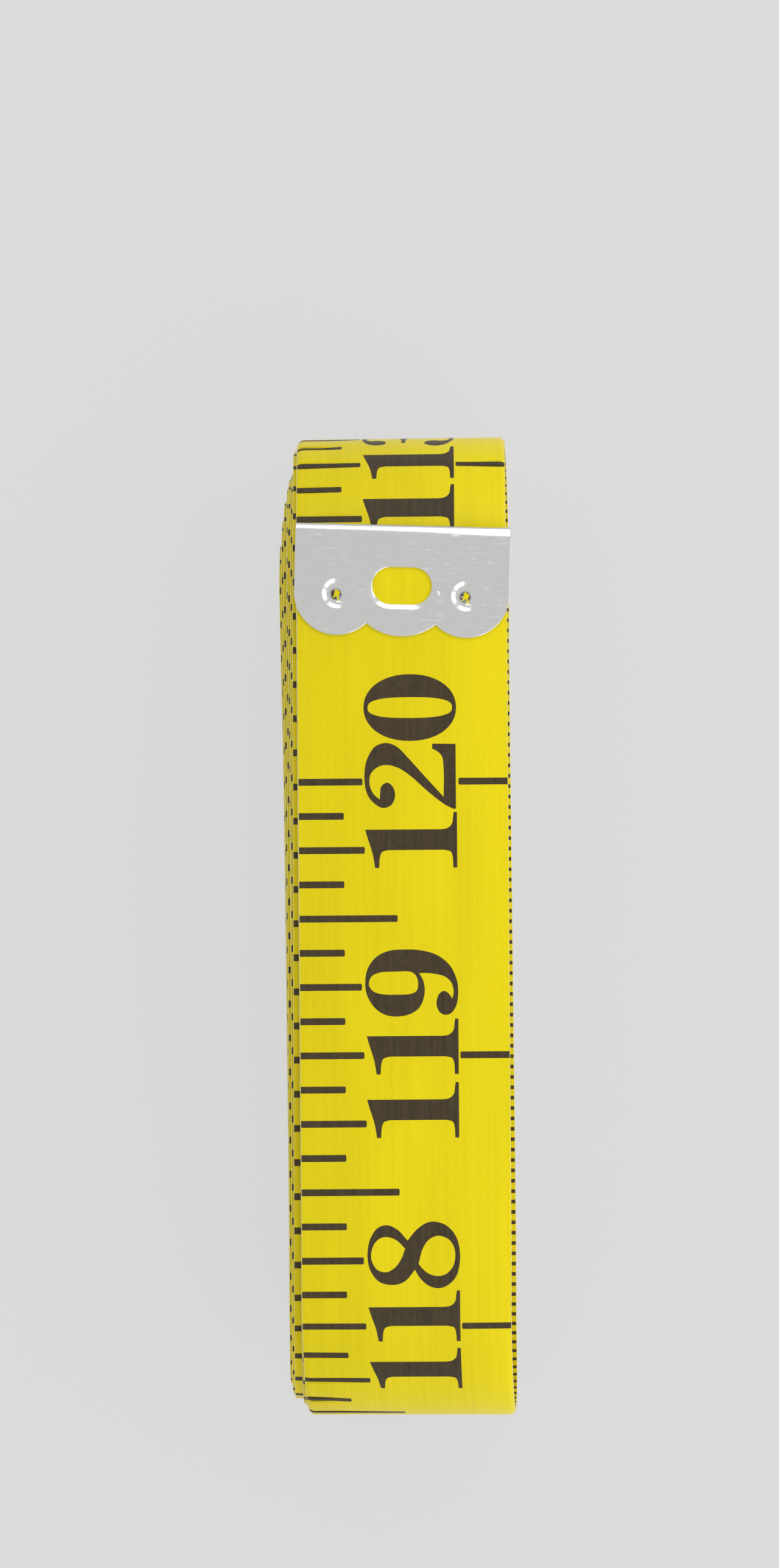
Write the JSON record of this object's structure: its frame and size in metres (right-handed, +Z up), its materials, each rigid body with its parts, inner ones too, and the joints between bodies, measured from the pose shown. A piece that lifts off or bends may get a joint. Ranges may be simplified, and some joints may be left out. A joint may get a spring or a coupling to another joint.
{
  "type": "cloth tape measure",
  "caption": "Flexible sewing tape wound into a flat hank, printed with inch and centimetre scales, with a folded metal tip on its end that lifts off and unrolls.",
  "frame": {"origin": "under the middle of the whole part, on the surface that the hank lies on", "axes": "+Z up through the hank's thickness, +Y along the hank towards the end where the outer metal tip lies, +X to the right of the face, across the tape's width"},
  "size_m": [0.0224, 0.0924, 0.0258],
  "materials": {
    "vinyl_tape": "semi-gloss vinyl coating over a fine woven glass-fibre cloth, printed in black-brown ink",
    "plated_tip": "bright nickel-plated thin sheet steel with faint rolling lines"
  },
  "bodies": {
    "hank": {"tape_winding": "vinyl_tape", "inner_end_tip": "plated_tip"},
    "bend_1": {"tape_bend_1": "vinyl_tape"},
    "bend_2": {"tape_bend_2": "vinyl_tape"},
    "bend_3": {"tape_bend_3": "vinyl_tape"},
    "free_end": {"tape_free_run": "vinyl_tape", "outer_end_tip": "plated_tip"}
  },
  "joints": [
    {"name": "unroll_1", "type": "hinge", "parent": "hank", "child": "bend_1", "pos_m": [0, -0.0351, 0.00098], "axis": [1, 0, 0], "range_deg": [0, 29.6]},
    {"name": "unroll_2", "type": "hinge", "parent": "bend_1", "child": "bend_2", "pos_m": [0, -0.0443, 0.00729], "axis": [1, 0, 0], "range_deg": [0, 60.5]},
    {"name": "unroll_3", "type": "hinge", "parent": "bend_2", "child": "bend_3", "pos_m": [0, -0.0443, 0.01805], "axis": [1, 0, 0], "range_deg": [0, 60.5]},
    {"name": "unroll_4", "type": "hinge", "parent": "bend_3", "child": "free_end", "pos_m": [0, -0.0351, 0.02437], "axis": [1, 0, 0], "range_deg": [0, 29.7]}
  ],
  "couplings": [
    {"joint": "unroll_2", "follows": "unroll_1", "ratio": 2.041},
    {"joint": "unroll_3", "follows": "unroll_1", "ratio": 2.041},
    {"joint": "unroll_4", "follows": "unroll_1", "ratio": 1}
  ]
}
